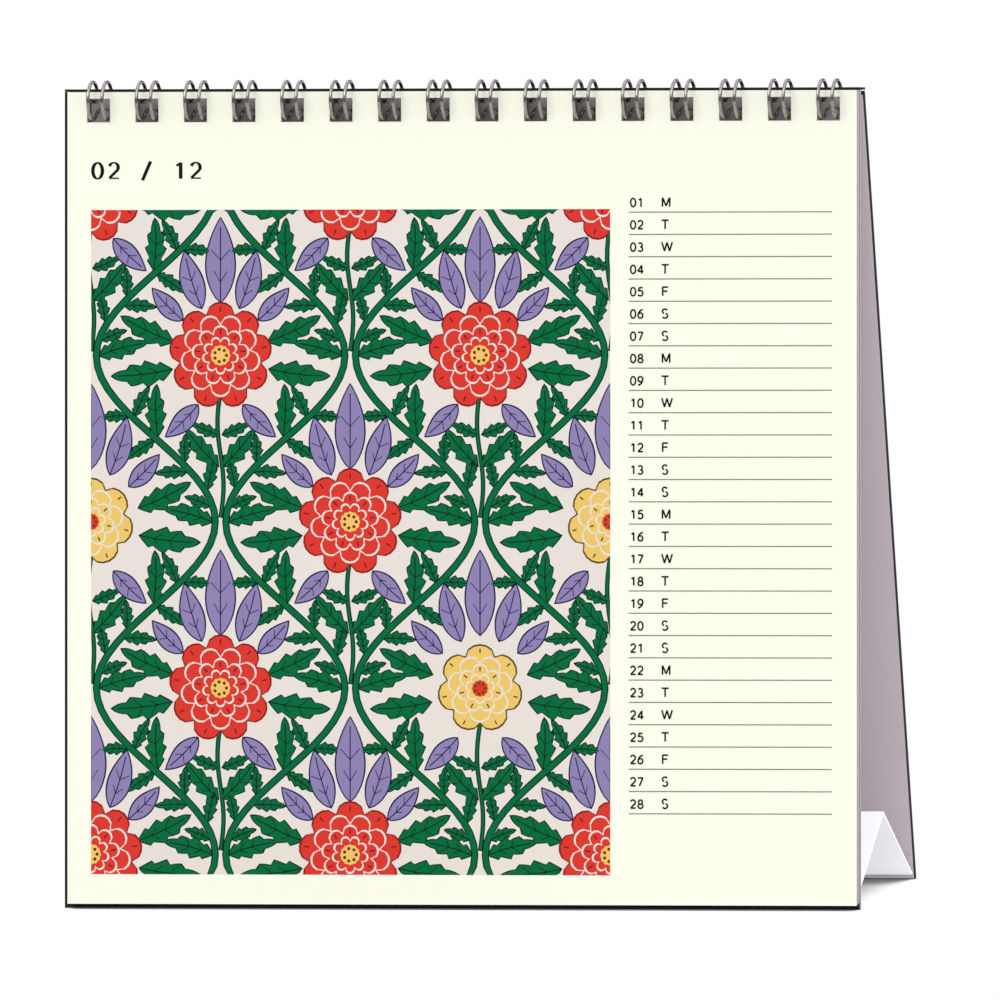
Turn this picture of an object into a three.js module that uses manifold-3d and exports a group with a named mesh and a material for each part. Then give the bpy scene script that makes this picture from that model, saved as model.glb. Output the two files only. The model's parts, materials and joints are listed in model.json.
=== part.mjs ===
// Wire-bound easel desk calendar, in millimetres. +Z is up, the picture side faces -Y,
// and the origin lies on the table under the middle of the calendar.
// A panel's own frame has X across, Y through its thickness (depth) and Z up the panel (height).
import * as THREE from 'three';
import { mergeVertices } from 'three/addons/utils/BufferGeometryUtils.js';
import Module from 'manifold-3d';

// leaves
const pageWidth = 206;
const pageHeight = 205.1;
const leafNames = [
  'february', 'march', 'april', 'may', 'june', 'july',
  'august', 'september', 'october', 'november', 'december',
];
const leafThickness = 0.18;
const leafGap = 0.08;
const leafCreep = 0.08; // each leaf ends this much higher than the one in front of it
const turnAhead = 0.25; // a leaf turns about a line just in front of its top edge
const turnBelow = 0.22;

// boards, their covering papers and the paste between them
const boardBesidePage = 1.5; // all of it at the left
const boardWidth = pageWidth + boardBesidePage;
const boardThickness = 1.2;
const boardBelowPage = 1.03;
const boardAbovePage = 0.1;
const paperThickness = 0.15;
const pasteGap = 0.05;
const easelAngle = THREE.MathUtils.degToRad(14.7);

// twin-loop wire, and the holes that it runs in
const loopPitch = 12.7;
const loopCount = Math.floor(pageWidth / loopPitch);
const loopOffset = 0.4; // the row of loops sits this far right of the page's middle
const wireDiameter = 0.9;
const wireSpread = 3.7;
const ringRadius = 4.75;
const ringDepth = 1.35;
const ringBelowPageTop = 2.2;
const baseAngle = THREE.MathUtils.degToRad(-4);
const tipAngle = THREE.MathUtils.degToRad(336);
const baseCornerRadius = 0.8;
const wireTail = 2;
const holeSide = 6;
const holeBelowPageTop = 1.65;
const slotClearance = 0.3;

// ridge strip over the tops of the two boards, and the running gap under it
const stripThickness = 0.6;
const stripSeatGap = 0.05;
const ridgeClearance = 0.25;
const ringToBackGap = 0.35;

// folded card base between the two panels
const cardThickness = 0.4;
const cardInset = 0.4;
const cardHingeGap = 0.3;
const frontTabHeight = 4.6;
const frontSlopeLength = 30.6;
const rearHingeHeight = 1.6;
const rearTabHeight = 4.6;
// the slopes open a little ahead of a true fold, so the rear one ends short of the front one's path
const frontRidgeGap = 0.35;
const rearRidgeGap = 4.2;

// where each layer lies in the front panel's frame, from the first leaf backwards
const leafPitch = leafThickness + leafGap;
const coverDepth = leafNames.length * leafPitch;
const frontBoardDepth = coverDepth + paperThickness + pasteGap;
const frontLinerDepth = frontBoardDepth + boardThickness + pasteGap;
const frontPanelRear = frontLinerDepth + paperThickness;
const ringHeight = pageHeight - ringBelowPageTop;
const wireRadius = wireDiameter / 2;
const innerRing = ringRadius - wireRadius;
const outerRing = ringRadius + wireRadius;
const pageOffset = boardBesidePage / 2;
const boardTop = pageHeight + boardAbovePage;

// the back panel's frame has its origin on the ridge's fold line, halfway through that panel
const halfPanel = boardThickness / 2 + pasteGap + paperThickness;
const foldDepth = ringDepth + outerRing + ringToBackGap + halfPanel;
const stripBottom = boardTop + stripSeatGap;
const foldHeight = stripBottom - ridgeClearance - halfPanel;

// both panels lean half of the easel's angle, and both end level on the table
const lean = easelAngle / 2;
const pageRise = boardBelowPage * Math.cos(lean) + coverDepth * Math.sin(lean);
const foldY = foldDepth * Math.cos(lean) + foldHeight * Math.sin(lean);
const foldZ = foldHeight * Math.cos(lean) - foldDepth * Math.sin(lean) + pageRise;
const frontFloor = (depth) => (depth * Math.sin(lean) - pageRise) / Math.cos(lean);
const rearFloor = (depth) => -(depth * Math.sin(lean) + foldZ) / Math.cos(lean);
const rearmost = foldY + halfPanel * Math.cos(lean) - rearFloor(halfPanel) * Math.sin(lean);

const firstLoop = pageOffset + loopOffset - loopPitch * (loopCount - 1) / 2;
const loopMiddles = [...Array(loopCount).keys()].map((i) => firstLoop + i * loopPitch);

const finishes = {
  leaf: { color: 0xfdfeee, roughness: 0.85, metalness: 0 },
  cover: { color: 0x17141a, roughness: 0.6, metalness: 0 },
  liner: { color: 0xb2aaaf, roughness: 0.8, metalness: 0 },
  board: { color: 0x8d8a86, roughness: 0.9, metalness: 0 },
  card: { color: 0xf3f1f3, roughness: 0.8, metalness: 0 },
  wire: { color: 0x8f8b88, roughness: 0.3, metalness: 1 },
};

const wasm = await Module();
wasm.setup();

function toSolid(geometry) {
  const bare = geometry.clone();
  bare.deleteAttribute('normal');
  bare.deleteAttribute('uv');
  const merged = mergeVertices(bare, 1e-5);
  return new wasm.Manifold(new wasm.Mesh({
    numProp: 3,
    vertProperties: new Float32Array(merged.attributes.position.array),
    triVerts: new Uint32Array(merged.index.array),
  }));
}

function toGeometry(solid) {
  const mesh = solid.getMesh();
  const geometry = new THREE.BufferGeometry();
  geometry.setAttribute('position', new THREE.BufferAttribute(mesh.vertProperties, 3));
  geometry.setIndex(new THREE.BufferAttribute(mesh.triVerts, 1));
  geometry.computeVertexNormals();
  return geometry;
}

function cut(geometry, cutters) {
  return toGeometry(cutters.reduce((solid, tool) => solid.subtract(toSolid(tool)), toSolid(geometry)));
}

function piece(name, geometry, finish) {
  const mesh = new THREE.Mesh(geometry, new THREE.MeshStandardMaterial(finish));
  mesh.name = name;
  return mesh;
}

// a side profile of (depth, height) points, run across the panel's width
function alongWidth(profile, width) {
  const geometry = new THREE.ExtrudeGeometry(profile, { depth: width, bevelEnabled: false });
  const across = new THREE.Matrix4().set(
    0, 0, 1, -width / 2,
    1, 0, 0, 0,
    0, 1, 0, 0,
    0, 0, 0, 1,
  );
  return geometry.applyMatrix4(across);
}

function profileOf(points) {
  return new THREE.Shape(points.map(([depth, height]) => new THREE.Vector2(depth, height)));
}

// one block for each loop of wire, to punch the boards and papers with
function holePunches(front, rear) {
  return loopMiddles.map((x) => new THREE.BoxGeometry(holeSide, rear - front, holeSide)
    .translate(x, (front + rear) / 2, pageHeight - holeBelowPageTop - holeSide / 2));
}

function leaf(index) {
  const face = index * leafPitch;
  const bottom = index * leafCreep;
  const sheet = new THREE.BoxGeometry(pageWidth, leafThickness, pageHeight - bottom)
    .translate(pageOffset, face + leafThickness / 2, (pageHeight + bottom) / 2);
  const punches = holePunches(face - leafGap, face + leafPitch);
  return piece(`leaf_${leafNames[index]}`, cut(sheet, punches), finishes.leaf);
}

// black paper over the board's front face, turned under its bottom edge
function frontCover() {
  const inner = coverDepth + paperThickness;
  const underside = (depth) => frontFloor(depth) + paperThickness;
  const profile = profileOf([
    [coverDepth, frontFloor(coverDepth)],
    [frontPanelRear, frontFloor(frontPanelRear)],
    [frontPanelRear, underside(frontPanelRear)],
    [inner, underside(inner)],
    [inner, boardTop],
    [coverDepth, boardTop],
  ]);
  const punches = holePunches(coverDepth - leafGap, inner + pasteGap / 2);
  return piece('front_cover', cut(alongWidth(profile, boardWidth), punches), finishes.cover);
}

// a flat layer of the front panel, ending just above the turned-under cover
function frontLayer(front, rear) {
  const bottom = (depth) => frontFloor(depth) + paperThickness + pasteGap;
  return profileOf([[front, bottom(front)], [rear, bottom(rear)], [rear, boardTop], [front, boardTop]]);
}

function frontBoard() {
  const rear = frontBoardDepth + boardThickness;
  const core = alongWidth(frontLayer(frontBoardDepth, rear), boardWidth - 2 * (paperThickness + pasteGap));
  return piece('front_board', cut(core, holePunches(frontBoardDepth - 1, rear + 1)), finishes.board);
}

// pale paper on the board's inner face, turned forward over its left and right edges
function frontLiner() {
  const whole = alongWidth(frontLayer(frontBoardDepth, frontPanelRear), boardWidth);
  const hollow = alongWidth(
    profileOf([
      [frontBoardDepth - 1, frontFloor(0) - 1],
      [frontLinerDepth, frontFloor(0) - 1],
      [frontLinerDepth, boardTop + 1],
      [frontBoardDepth - 1, boardTop + 1],
    ]),
    boardWidth - 2 * paperThickness,
  );
  const punches = holePunches(frontLinerDepth - pasteGap / 2, frontPanelRear + 1);
  return piece('front_liner', cut(whole, [hollow, ...punches]), finishes.liner);
}

// black strip that bridges the two boards, with a slot for the rear of each loop
function ridgeStrip() {
  const stripTop = stripBottom + stripThickness;
  const reach = (radius, height) => Math.sqrt(radius ** 2 - (height - ringHeight) ** 2);
  const slotFront = ringDepth + reach(innerRing, stripTop) - slotClearance;
  const slotRear = ringDepth + reach(outerRing, stripBottom) + slotClearance;
  const stripRear = foldDepth + halfPanel;
  const middle = (stripBottom + stripTop) / 2;
  const strip = new THREE.BoxGeometry(boardWidth, stripRear - coverDepth, stripThickness)
    .translate(0, (coverDepth + stripRear) / 2, middle);
  const slot = new THREE.BoxGeometry(holeSide, slotRear - slotFront, 2 * stripThickness)
    .translate(0, (slotFront + slotRear) / 2, middle);
  const slots = loopMiddles.map((x) => slot.clone().translate(x, 0, 0));
  return piece('ridge_strip', cut(strip, slots), finishes.cover);
}

// a layer of the back panel with a top rounded about the fold line
function roundTopped(radius, bottom) {
  const profile = new THREE.Shape();
  profile.moveTo(-radius, bottom(-radius));
  profile.lineTo(radius, bottom(radius));
  profile.lineTo(radius, 0);
  profile.absarc(0, 0, radius, 0, Math.PI, false);
  profile.closePath();
  return profile;
}

// black paper over the board's outer face, turned in over all four edges
function backCover() {
  const inner = halfPanel - paperThickness;
  const underside = (depth) => rearFloor(depth) + paperThickness;
  const hollow = new THREE.Shape();
  hollow.moveTo(-halfPanel - 1, underside(-halfPanel - 1));
  hollow.lineTo(inner, underside(inner));
  hollow.lineTo(inner, 0);
  hollow.absarc(0, 0, inner, 0, Math.PI, false);
  hollow.lineTo(-halfPanel - 1, 0);
  hollow.closePath();
  const whole = alongWidth(roundTopped(halfPanel, rearFloor), boardWidth);
  const cavity = alongWidth(hollow, boardWidth - 2 * paperThickness);
  return piece('back_cover', cut(whole, [cavity]), finishes.cover);
}

function backBoard() {
  const bottom = (depth) => rearFloor(depth) + paperThickness + pasteGap;
  const profile = roundTopped(boardThickness / 2, bottom);
  const width = boardWidth - 2 * (paperThickness + pasteGap);
  return piece('back_board', alongWidth(profile, width), finishes.board);
}

function backLiner() {
  const bottom = (depth) => rearFloor(depth) + paperThickness + pasteGap;
  const front = -halfPanel;
  const rear = front + paperThickness;
  const top = -pasteGap;
  const profile = profileOf([[front, bottom(front)], [rear, bottom(rear)], [rear, top], [front, top]]);
  const width = boardWidth - 2 * (paperThickness + pasteGap);
  return piece('back_liner', alongWidth(profile, width), finishes.liner);
}

// the card base: each slope folds about a hinge near the foot of its panel, and they meet in a ridge
const cardWidth = boardWidth - 2 * cardInset;
const frontTabDepth = frontPanelRear + pasteGap;
const frontHinge = {
  depth: frontTabDepth + cardThickness / 2,
  height: frontFloor(frontPanelRear) + pasteGap + frontTabHeight + cardHingeGap / 2,
};
const rearTabDepth = -halfPanel - pasteGap - cardThickness;
const rearHinge = {
  depth: rearTabDepth - pasteGap - cardThickness / 2,
  height: rearFloor(-halfPanel) + rearHingeHeight,
};
// closed flat, both slopes reach the same distance below the fold line
const closedReach = foldHeight - frontHinge.height - frontSlopeLength;
const rearSlopeLength = -rearHinge.height - closedReach;

// the ridge is where circles of the two slopes' lengths about the hinges cross
function baseRidge() {
  const turn = new THREE.Vector2(rearHinge.depth, rearHinge.height)
    .rotateAround(new THREE.Vector2(), easelAngle);
  const rear = turn.add(new THREE.Vector2(foldDepth, foldHeight));
  const front = new THREE.Vector2(frontHinge.depth, frontHinge.height);
  const across = rear.clone().sub(front);
  const span = across.length();
  const along = (span ** 2 + frontSlopeLength ** 2 - rearSlopeLength ** 2) / (2 * span);
  const rise = Math.sqrt(frontSlopeLength ** 2 - along ** 2);
  const unit = across.divideScalar(span);
  const ridge = front.clone()
    .addScaledVector(unit, along)
    .addScaledVector(new THREE.Vector2(-unit.y, unit.x), rise);
  const frontSlope = ridge.clone().sub(front);
  const rearSlope = ridge.clone().sub(rear);
  return {
    frontAngle: Math.atan2(frontSlope.x, frontSlope.y),
    rearAngle: Math.atan2(-rearSlope.x, rearSlope.y) - easelAngle,
  };
}

function slope(name, end) {
  const half = cardThickness / 2;
  const profile = profileOf([[-half, cardHingeGap], [half, cardHingeGap], [half, end], [-half, end]]);
  return piece(name, alongWidth(profile, cardWidth), finishes.card);
}

function tab(name, front, bottom, top) {
  const rear = front + cardThickness;
  const profile = profileOf([[front, bottom], [rear, bottom], [rear, top], [front, top]]);
  return piece(name, alongWidth(profile, cardWidth), finishes.card);
}

// the wire's centre line, laid out flat as (x, distance round the ring) and then wrapped
function flatWire() {
  const half = wireSpread / 2;
  const base = ringRadius * baseAngle;
  const capMiddle = ringRadius * tipAngle - half;
  const risers = 14;
  const capSteps = 5;
  const points = [new THREE.Vector2(loopMiddles[0] - half - baseCornerRadius - wireTail, base)];
  const arc = (x, s, radius, from, to, steps) => {
    for (let i = 0; i <= steps; i++) {
      const angle = from + (to - from) * i / steps;
      points.push(new THREE.Vector2(x + radius * Math.cos(angle), s + radius * Math.sin(angle)));
    }
  };
  const straight = (x, from, to) => {
    for (let i = 1; i < risers; i++) {
      points.push(new THREE.Vector2(x, from + (to - from) * i / risers));
    }
  };
  const cornerTop = base + baseCornerRadius;
  for (const x of loopMiddles) {
    arc(x - half - baseCornerRadius, cornerTop, baseCornerRadius, -Math.PI / 2, 0, 2);
    straight(x - half, cornerTop, capMiddle);
    arc(x, capMiddle, half, Math.PI, 0, capSteps);
    straight(x + half, capMiddle, cornerTop);
    arc(x + half + baseCornerRadius, cornerTop, baseCornerRadius, Math.PI, 3 * Math.PI / 2, 2);
  }
  points.push(new THREE.Vector2(loopMiddles[loopCount - 1] + half + baseCornerRadius + wireTail, base));
  return points;
}

function wrapped(flat) {
  const angle = flat.y / ringRadius;
  const radial = new THREE.Vector3(0, Math.cos(angle), Math.sin(angle));
  const centre = new THREE.Vector3(flat.x, ringDepth, ringHeight).addScaledVector(radial, ringRadius);
  return { centre, radial };
}

// the least free space between two stretches of wire that lie further apart along it than skip
function selfGap(centres, skip) {
  const reach = [0];
  for (let i = 1; i < centres.length; i++) {
    reach.push(reach[i - 1] + centres[i].distanceTo(centres[i - 1]));
  }
  let least = Infinity;
  for (let i = 0; i < centres.length; i++) {
    for (let j = i + 1; j < centres.length; j++) {
      if (reach[j] - reach[i] > skip) {
        least = Math.min(least, centres[i].distanceTo(centres[j]));
      }
    }
  }
  return least - wireDiameter;
}

// one unbroken comb of wire: up over the page tops, down through the holes, and back again
function bindingWire() {
  const sides = 6;
  const stations = flatWire().map(wrapped);
  const position = [];
  const index = [];
  stations.forEach(({ centre, radial }, i) => {
    const before = stations[Math.max(i - 1, 0)].centre;
    const after = stations[Math.min(i + 1, stations.length - 1)].centre;
    const tangent = after.clone().sub(before).normalize();
    const side = tangent.clone().cross(radial).normalize();
    const up = side.clone().cross(tangent);
    for (let k = 0; k < sides; k++) {
      const angle = 2 * Math.PI * k / sides;
      const rim = centre.clone()
        .addScaledVector(side, wireRadius * Math.cos(angle))
        .addScaledVector(up, wireRadius * Math.sin(angle));
      position.push(rim.x, rim.y, rim.z);
    }
  });
  for (let i = 0; i < stations.length - 1; i++) {
    for (let k = 0; k < sides; k++) {
      const a = i * sides + k;
      const b = i * sides + (k + 1) % sides;
      index.push(a, a + sides, b, b, a + sides, b + sides);
    }
  }
  const last = (stations.length - 1) * sides;
  for (let k = 1; k < sides - 1; k++) {
    index.push(0, k, k + 1, last, last + k + 1, last + k);
  }
  const geometry = new THREE.BufferGeometry();
  geometry.setAttribute('position', new THREE.Float32BufferAttribute(position, 3));
  geometry.setIndex(index);
  geometry.computeVertexNormals();
  const gap = selfGap(stations.map((station) => station.centre), 3 * wireSpread);
  console.log(`binding wire: least gap to itself ${gap.toFixed(2)} mm`);
  return piece('binding_wire', geometry, finishes.wire);
}

const { frontAngle, rearAngle } = baseRidge();

const calendar = new THREE.Group();

const front = new THREE.Group();
front.position.set(0, -rearmost / 2, pageRise);
front.rotation.x = -lean;
front.add(frontCover(), frontBoard(), frontLiner(), ridgeStrip(), bindingWire());
leafNames.forEach((name, i) => front.add(leaf(i)));
front.add(tab(
  'gusset_front_tab', frontTabDepth, frontHinge.height - cardHingeGap / 2 - frontTabHeight,
  frontHinge.height - cardHingeGap / 2));

const frontSlopeGroup = new THREE.Group();
frontSlopeGroup.position.set(0, frontHinge.depth, frontHinge.height);
frontSlopeGroup.rotation.x = -frontAngle;
frontSlopeGroup.add(slope('gusset_front_slope', frontSlopeLength - frontRidgeGap));
front.add(frontSlopeGroup);

const back = new THREE.Group();
back.position.set(0, foldY - rearmost / 2, foldZ);
back.rotation.x = lean;
back.add(backCover(), backBoard(), backLiner());
back.add(tab(
  'gusset_rear_tab', rearTabDepth, rearHinge.height, rearHinge.height + rearTabHeight));

const rearSlopeGroup = new THREE.Group();
rearSlopeGroup.position.set(0, rearHinge.depth, rearHinge.height);
rearSlopeGroup.rotation.x = rearAngle;
rearSlopeGroup.add(slope('gusset_rear_slope', rearSlopeLength - rearRidgeGap));
back.add(rearSlopeGroup);

calendar.add(front, back);

// the lines that the moving pieces turn about, all of them along X
calendar.updateMatrixWorld(true);
function tellLine(name, group, depth, height) {
  const point = group.localToWorld(new THREE.Vector3(0, depth, height));
  console.log(`${name} turns about y ${point.y.toFixed(5)}, z ${point.z.toFixed(5)}`);
}
tellLine('back panel', back, 0, 0);
tellLine('front card slope', frontSlopeGroup, 0, 0);
tellLine('rear card slope', rearSlopeGroup, 0, 0);
leafNames.forEach((name, i) => tellLine(name, front, i * leafPitch - turnAhead, pageHeight - turnBelow));
const degrees = (angle) => THREE.MathUtils.radToDeg(angle).toFixed(4);
console.log(`card slopes at rest: front ${degrees(frontAngle)}, rear ${degrees(rearAngle)} degrees`);

export default calendar;
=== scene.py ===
import json
import math

import bmesh
import bpy
import numpy as np
from mathutils import Matrix, Vector


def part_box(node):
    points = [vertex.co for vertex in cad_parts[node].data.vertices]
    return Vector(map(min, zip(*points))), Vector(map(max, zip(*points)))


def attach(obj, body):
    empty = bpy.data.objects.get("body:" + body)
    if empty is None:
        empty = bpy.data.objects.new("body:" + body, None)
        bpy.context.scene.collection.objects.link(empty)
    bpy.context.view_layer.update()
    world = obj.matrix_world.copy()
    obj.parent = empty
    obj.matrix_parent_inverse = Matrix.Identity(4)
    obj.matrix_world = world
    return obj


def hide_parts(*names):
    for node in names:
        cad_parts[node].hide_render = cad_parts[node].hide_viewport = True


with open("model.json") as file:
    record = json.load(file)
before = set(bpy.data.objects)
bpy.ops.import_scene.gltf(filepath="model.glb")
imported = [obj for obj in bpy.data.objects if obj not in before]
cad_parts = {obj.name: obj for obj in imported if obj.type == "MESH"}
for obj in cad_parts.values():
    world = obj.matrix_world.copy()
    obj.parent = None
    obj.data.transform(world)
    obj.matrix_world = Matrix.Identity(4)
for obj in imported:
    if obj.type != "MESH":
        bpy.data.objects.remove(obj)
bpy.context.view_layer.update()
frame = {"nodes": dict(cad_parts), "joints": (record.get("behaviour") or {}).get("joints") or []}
print("stage: frame loaded")

mm = 0.001
jointOf = {joint["name"]: joint for joint in frame["joints"]}
leafBodies = [name for name, node in sorted(frame["nodes"].items()) if name.startswith("leaf_")]

# the front panel's own directions: across, up the panel, and back through its thickness
lean = math.radians(jointOf["easel_fold"]["range_deg"][1]) / 2
across = np.array([1.0, 0.0, 0.0])
upPanel = np.array([0.0, math.sin(lean), math.cos(lean)])
intoPanel = np.array([0.0, math.cos(lean), -math.sin(lean)])

leafLook = {"thickness": 0.18 * mm}


# the bottom left front corner of a leaf: the low corner of its box, moved up by what its rear edge hangs
def leafCorner(node):
    low, high = (np.array(corner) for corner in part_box(node))
    return np.array([low[0], low[1], low[2] + leafLook["thickness"] * math.sin(lean)])


pageCorner = leafCorner("leaf_february")
pageLow, pageHigh = (np.array(corner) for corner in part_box("leaf_february"))
pageWidth = pageHigh[0] - pageLow[0]
pageHeight = (pageHigh[2] - pageCorner[2]) / math.cos(lean)


# points of the front panel's frame as world points: corner + x across + height up + depth back
def onPanel(x, height, depth):
    x, height, depth = np.broadcast_arrays(x, height, depth)
    return (pageCorner + x[..., None] * across + height[..., None] * upPanel
            + depth[..., None] * intoPanel)


# camera: square to the front leaf's height, turned round it towards its right-hand edge
photoView = {
    "yaw": math.radians(15),
    "frameWidth": 252 * mm,
    "pixels": 1000,
    "leafLeftPixel": 66.2,
    "leafBottomPixel": 904.9,
    "lens": 1400,
    "sensor": 36,
}


def placeCamera(view):
    pixel = view["frameWidth"] / view["pixels"]
    middle = view["pixels"] / 2
    right = math.cos(view["yaw"]) * across + math.sin(view["yaw"]) * intoPanel
    ahead = -math.sin(view["yaw"]) * across + math.cos(view["yaw"]) * intoPanel
    reach = (middle - view["leafLeftPixel"]) * pixel / math.cos(view["yaw"])
    target = pageCorner + reach * across + (view["leafBottomPixel"] - middle) * pixel * upPanel
    distance = view["frameWidth"] * view["lens"] / view["sensor"]
    data = bpy.data.cameras.new("photoCamera")
    data.lens = view["lens"]
    data.sensor_width = view["sensor"]
    data.clip_end = 3 * distance
    camera = bpy.data.objects.new("photoCamera", data)
    bpy.context.scene.collection.objects.link(camera)
    turn = Matrix([[right[i], upPanel[i], -ahead[i]] for i in range(3)]).to_4x4()
    camera.matrix_world = Matrix.Translation(Vector(target - distance * ahead)) @ turn
    bpy.context.scene.camera = camera


placeCamera(photoView)
print("stage: camera placed")


# screen values 0 to 255 as linear colour: the usual sRGB curve
def toLinear(red, green, blue):
    c = np.array([red, green, blue]) / 255
    return tuple(np.where(c <= 0.04045, c / 12.92, ((c + 0.055) / 1.055) ** 2.4))


# shader groups
def newGroup(name, inputs, outputs):
    tree = bpy.data.node_groups.new(name, "ShaderNodeTree")
    for label, kind, value in inputs:
        socket = tree.interface.new_socket(name=label, in_out="INPUT", socket_type=kind)
        socket.default_value = value
    for label, kind in outputs:
        tree.interface.new_socket(name=label, in_out="OUTPUT", socket_type=kind)
    return tree, tree.nodes.new("NodeGroupInput"), tree.nodes.new("NodeGroupOutput")


def mathNode(tree, operation, a, b):
    node = tree.nodes.new("ShaderNodeMath")
    node.operation = operation
    for socket, value in zip(node.inputs, (a, b)):
        if isinstance(value, (int, float)):
            socket.default_value = value
        else:
            tree.links.new(value, socket)
    return node.outputs[0]


def noiseNode(tree, vector, scale, detail, roughness=0.5):
    node = tree.nodes.new("ShaderNodeTexNoise")
    node.inputs["Detail"].default_value = detail
    node.inputs["Roughness"].default_value = roughness
    tree.links.new(vector, node.inputs["Vector"])
    if isinstance(scale, (int, float)):
        node.inputs["Scale"].default_value = scale
    else:
        tree.links.new(scale, node.inputs["Scale"])
    return node.outputs["Fac"]


# paper: fine fibres under broad cloudy formation, as a tint of the colour and a height
def makePaperFibre():
    tree, source, sink = newGroup(
        "paperFibre",
        [("Colour", "NodeSocketColor", (1, 1, 1, 1)), ("Fibre Scale", "NodeSocketFloat", 2500.0),
         ("Cloud Scale", "NodeSocketFloat", 60.0), ("Tint", "NodeSocketFloat", 0.03)],
        [("Colour", "NodeSocketColor"), ("Height", "NodeSocketFloat"), ("Roughness", "NodeSocketFloat")])
    place = tree.nodes.new("ShaderNodeTexCoord").outputs["Object"]
    fibre = noiseNode(tree, place, source.outputs["Fibre Scale"], 3, 0.6)
    cloud = noiseNode(tree, place, source.outputs["Cloud Scale"], 2)
    both = mathNode(tree, "ADD", mathNode(tree, "MULTIPLY", fibre, 0.6), mathNode(tree, "MULTIPLY", cloud, 0.4))
    centred = mathNode(tree, "SUBTRACT", both, 0.5)
    shade = mathNode(tree, "ADD", mathNode(tree, "MULTIPLY", centred, source.outputs["Tint"]), 1.0)
    mix = tree.nodes.new("ShaderNodeVectorMath")
    mix.operation = "SCALE"
    tree.links.new(source.outputs["Colour"], mix.inputs[0])
    tree.links.new(shade, mix.inputs["Scale"])
    tree.links.new(mix.outputs[0], sink.inputs["Colour"])
    tree.links.new(fibre, sink.inputs["Height"])
    rough = mathNode(tree, "ADD", mathNode(tree, "MULTIPLY", cloud, 0.12), 0.74)
    tree.links.new(rough, sink.inputs["Roughness"])
    return tree


paperFibre = makePaperFibre()


def newMaterial(name):
    material = bpy.data.materials.new(name)
    material.use_nodes = True
    tree = material.node_tree
    return material, tree, tree.nodes["Principled BSDF"]


# a paper surface: its own colour or the colour attribute, through paperFibre, with a fine bump. Given an edge
# colour, faces that point sideways take it: painted shade on cut edges
def paperMaterial(name, colour, look, edge=None):
    material, tree, shader = newMaterial(name)
    group = tree.nodes.new("ShaderNodeGroup")
    group.node_tree = paperFibre
    group.inputs["Fibre Scale"].default_value = look["fibreScale"]
    group.inputs["Cloud Scale"].default_value = look["cloudScale"]
    group.inputs["Tint"].default_value = look["tint"]
    if colour is None:
        inks = tree.nodes.new("ShaderNodeAttribute")
        inks.attribute_name = "inkColour"
        tree.links.new(inks.outputs["Color"], group.inputs["Colour"])
    else:
        group.inputs["Colour"].default_value = (*toLinear(*colour), 1)
    tree.links.new(group.outputs["Colour"], shader.inputs["Base Color"])
    if edge is not None:
        # faces turned sideways take the edge colour: painted shade
        facing = tree.nodes.new("ShaderNodeSeparateXYZ")
        tree.links.new(tree.nodes.new("ShaderNodeNewGeometry").outputs["True Normal"], facing.inputs[0])
        paintedShadeSides = mathNode(tree, "GREATER_THAN", mathNode(tree, "ABSOLUTE", facing.outputs["X"], 0.0), 0.7)
        paintedShadeMix = tree.nodes.new("ShaderNodeMix")
        paintedShadeMix.data_type = "RGBA"
        paintedShadeMix.inputs["B"].default_value = (*toLinear(*edge), 1)
        tree.links.new(paintedShadeSides, paintedShadeMix.inputs["Factor"])
        tree.links.new(group.outputs["Colour"], paintedShadeMix.inputs["A"])
        tree.links.new(paintedShadeMix.outputs["Result"], shader.inputs["Base Color"])
    tree.links.new(group.outputs["Roughness"], shader.inputs["Roughness"])
    bump = tree.nodes.new("ShaderNodeBump")
    bump.inputs["Strength"].default_value = look["bump"]
    bump.inputs["Distance"].default_value = look["relief"]
    tree.links.new(group.outputs["Height"], bump.inputs["Height"])
    tree.links.new(bump.outputs["Normal"], shader.inputs["Normal"])
    shader.inputs["Specular IOR Level"].default_value = look["gloss"]
    return material


leafPaper = {"fibreScale": 3200.0, "cloudScale": 45.0, "tint": 0.012,
             "bump": 0.12, "relief": 0.02 * mm, "gloss": 0.2}
inkFilm = {"fibreScale": 3200.0, "cloudScale": 45.0, "tint": 0.12,
           "bump": 0.1, "relief": 0.02 * mm, "gloss": 0.08}
coverPaper = {"fibreScale": 1800.0, "cloudScale": 80.0, "tint": 0.5,
              "bump": 0.5, "relief": 0.06 * mm, "gloss": 0.35}
linerPaper = {"fibreScale": 1400.0, "cloudScale": 70.0, "tint": 0.07,
              "bump": 0.3, "relief": 0.05 * mm, "gloss": 0.2}
boardCore = {"fibreScale": 1200.0, "cloudScale": 200.0, "tint": 0.4,
             "bump": 0.6, "relief": 0.08 * mm, "gloss": 0.15}
baseCard = {"fibreScale": 2200.0, "cloudScale": 50.0, "tint": 0.02,
            "bump": 0.15, "relief": 0.03 * mm, "gloss": 0.25}

# the leaves' left and right cut edges are painted lilac grey, not cream: painted shade
leafMaterial = paperMaterial("leafPaper", (253, 254, 238), leafPaper, edge=(182, 172, 182))
inkMaterial = paperMaterial("printedInk", None, inkFilm)
coverMaterial = paperMaterial("blackCoverPaper", (24, 21, 26), coverPaper)
# two copies of the one white lining paper: the lilac grey one on the front lining is painted shade, and the
# paler one on the back lining and the rear tab is painted light, in place of the card fill lamp
shadedLinerMaterial = paperMaterial("liningPaperPaintedShade", (193, 183, 193), linerPaper)
litLinerMaterial = paperMaterial("liningPaperPaintedLight", (243, 232, 238), linerPaper)
boardMaterial = paperMaterial("greyBoard", (150, 144, 138), boardCore)
cardMaterial = paperMaterial("whiteCard", (252, 251, 255), baseCard)

wireFinish = {"bright": (184, 179, 174), "dull": (120, 114, 109), "roughness": 0.22, "streaks": 1400.0}


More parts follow.
